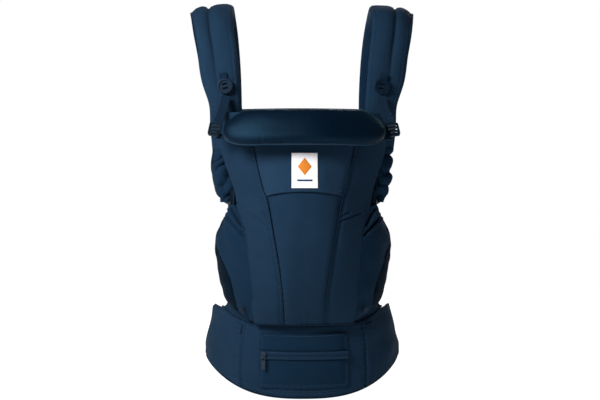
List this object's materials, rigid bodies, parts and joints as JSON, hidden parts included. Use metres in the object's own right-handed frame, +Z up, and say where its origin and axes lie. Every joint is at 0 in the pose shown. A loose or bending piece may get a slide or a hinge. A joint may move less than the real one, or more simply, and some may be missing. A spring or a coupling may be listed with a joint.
{
  "type": "soft baby carrier",
  "caption": "Soft structured baby carrier in navy cotton: padded waist belt with zip pouch, shaped seat panel with leg wings, fold-down headrest and padded shoulder straps with buckles.",
  "frame": {"origin": "on the vertical axis of the wearer's waist ring, level with the belt's lowest edge", "axes": "+Z up, -Y the front of the carrier, away from the wearer, +X to the right seen from the front"},
  "size_m": [0.3916, 0.3245, 0.6618],
  "materials": {
    "cotton": "navy brushed cotton twill",
    "cotton_lining": "navy cotton lining",
    "spacer_mesh": "navy spacer mesh",
    "jersey": "smooth dark navy jersey",
    "webbing": "ribbed navy webbing",
    "moulded_plastic": "satin navy acetal",
    "zip_tape": "woven zip tape with a covered coil",
    "zip_metal": "dark painted zinc",
    "label": "white woven label with a plain orange diamond and a short dark bar",
    "foam": "closed-cell foam"
  },
  "bodies": {
    "carrier": {"belt_foam": "foam", "belt_facing": "cotton", "belt_lining": "spacer_mesh", "pouch": "cotton", "pouch_zipper": "zip_tape", "centre_panel": "cotton", "yoke_panel": "cotton", "side_panel_left": "cotton", "side_panel_right": "cotton", "inner_liner": "cotton_lining", "label_patch": "label", "wing_snaps": "moulded_plastic", "wing_left": "jersey", "wing_right": "jersey", "leg_padding_left": "cotton_lining", "leg_padding_right": "cotton_lining", "headrest_hinge": "jersey", "shoulder_pad_left": "cotton", "shoulder_pad_right": "cotton", "strap_foam_left": "foam", "strap_foam_right": "foam", "strap_gather_left": "cotton", "strap_gather_right": "cotton", "strap_lining_left": "spacer_mesh", "strap_lining_right": "spacer_mesh", "strap_rails": "webbing", "button_tabs": "webbing", "strap_buttons": "moulded_plastic", "buckle_anchors": "webbing", "shoulder_webbing_left": "webbing", "shoulder_webbing_right": "webbing", "side_buckle_female_left": "moulded_plastic", "side_buckle_female_right": "moulded_plastic", "waist_webbing_left": "webbing", "waist_webbing_right": "webbing", "waist_buckle_female": "moulded_plastic", "webbing_keepers": "webbing"},
    "headrest": {"headrest_cover": "jersey", "headrest_foam": "foam"},
    "chest_strap": {"chest_sliders": "moulded_plastic", "chest_webbing_left": "webbing", "chest_webbing_right": "webbing", "chest_buckle_female": "moulded_plastic"},
    "chest_male": {"chest_buckle_male": "moulded_plastic"},
    "waist_male": {"waist_buckle_male": "moulded_plastic"},
    "waist_button": {"waist_release_button": "moulded_plastic"},
    "zip_slider": {"zipper_slider": "zip_metal"},
    "zip_pull": {"zipper_pull": "zip_metal"},
    "lumbar": {"lumbar_pad": "spacer_mesh", "lumbar_loops": "webbing"},
    "seat_tab_left": {"seat_tab_left": "cotton"},
    "side_male_left": {"side_buckle_male_left": "moulded_plastic"},
    "headrest_loop_left": {"headrest_strap_left": "webbing", "headrest_anchor_left": "webbing"},
    "ladder_lock_left": {"ladder_lock_left": "moulded_plastic"},
    "seat_tab_right": {"seat_tab_right": "cotton"},
    "side_male_right": {"side_buckle_male_right": "moulded_plastic"},
    "headrest_loop_right": {"headrest_strap_right": "webbing", "headrest_anchor_right": "webbing"},
    "ladder_lock_right": {"ladder_lock_right": "moulded_plastic"}
  },
  "joints": [
    {"name": "headrest_fold", "type": "hinge", "parent": "carrier", "child": "headrest", "pos_m": [0, -0.152, 0.465], "axis": [-1, 0, 0], "range_deg": [0, 130], "deforming": ["headrest_anchor_left", "headrest_anchor_right"]},
    {"name": "chest_strap_height", "type": "slide", "parent": "carrier", "child": "chest_strap", "axis": [0, 0, 1], "range_m": [-0.02, 0.065]},
    {"name": "chest_buckle_release", "type": "slide", "parent": "chest_strap", "child": "chest_male", "axis": [-1, 0, 0], "range_m": [0, 0.018], "deforming": ["chest_webbing_left"]},
    {"name": "waist_buckle_release", "type": "slide", "parent": "carrier", "child": "waist_male", "axis": [-0.8134, 0.5817, 0], "range_m": [0, 0.026], "deforming": ["waist_webbing_left"]},
    {"name": "waist_safety_button", "type": "slide", "parent": "carrier", "child": "waist_button", "axis": [-0.5817, -0.8134, 0], "range_m": [0, 0.002], "stiffness_N_per_m": 300},
    {"name": "zip_slide", "type": "hinge", "parent": "carrier", "child": "zip_slider", "pos_m": [0, 0.062, 0.0685], "axis": [0, 0, 1], "range_deg": [0, 34]},
    {"name": "zip_pull_swing", "type": "hinge", "parent": "zip_slider", "child": "zip_pull", "pos_m": [-0.06581, -0.14046, 0.0663], "axis": [-0.9489, 0.3155, 0], "range_deg": [0, 150]},
    {"name": "lumbar_pad_slide", "type": "hinge", "parent": "carrier", "child": "lumbar", "pos_m": [0, -0.062, 0.089], "axis": [0, 0, 1], "range_deg": [-4, 4]},
    {"name": "seat_width_left", "type": "hinge", "parent": "carrier", "child": "seat_tab_left", "pos_m": [-0.0138, 0.0102, 0.12], "axis": [0, 0, 1], "range_deg": [-4, 4]},
    {"name": "side_buckle_release_left", "type": "slide", "parent": "carrier", "child": "side_male_left", "axis": [-0.1392, 0.9903, 0], "range_m": [0, 0.022], "deforming": ["shoulder_webbing_left"]},
    {"name": "headrest_loop_swing_left", "type": "hinge", "parent": "carrier", "child": "headrest_loop_left", "pos_m": [-0.1275, -0.106, 0.49], "axis": [-1, 0, 0], "range_deg": [0, 56]},
    {"name": "ladder_lock_tilt_left", "type": "hinge", "parent": "headrest_loop_left", "child": "ladder_lock_left", "pos_m": [-0.1435, -0.136, 0.433], "axis": [-0.9886, 0.0733, 0.1315], "range_deg": [0, 30]},
    {"name": "seat_width_right", "type": "hinge", "parent": "carrier", "child": "seat_tab_right", "pos_m": [0.0138, 0.0102, 0.12], "axis": [0, 0, 1], "range_deg": [-4, 4]},
    {"name": "side_buckle_release_right", "type": "slide", "parent": "carrier", "child": "side_male_right", "axis": [0.1392, 0.9903, 0], "range_m": [0, 0.022], "deforming": ["shoulder_webbing_right"]},
    {"name": "headrest_loop_swing_right", "type": "hinge", "parent": "carrier", "child": "headrest_loop_right", "pos_m": [0.1275, -0.106, 0.49], "axis": [-1, 0, 0], "range_deg": [0, 56]},
    {"name": "ladder_lock_tilt_right", "type": "hinge", "parent": "headrest_loop_right", "child": "ladder_lock_right", "pos_m": [0.1435, -0.136, 0.433], "axis": [-0.9886, -0.0733, -0.1315], "range_deg": [0, 30]}
  ],
  "couplings": [
    {"joint": "headrest_loop_swing_left", "follows": "headrest_fold", "ratio": 0.423},
    {"joint": "headrest_loop_swing_right", "follows": "headrest_fold", "ratio": 0.423}
  ]
}
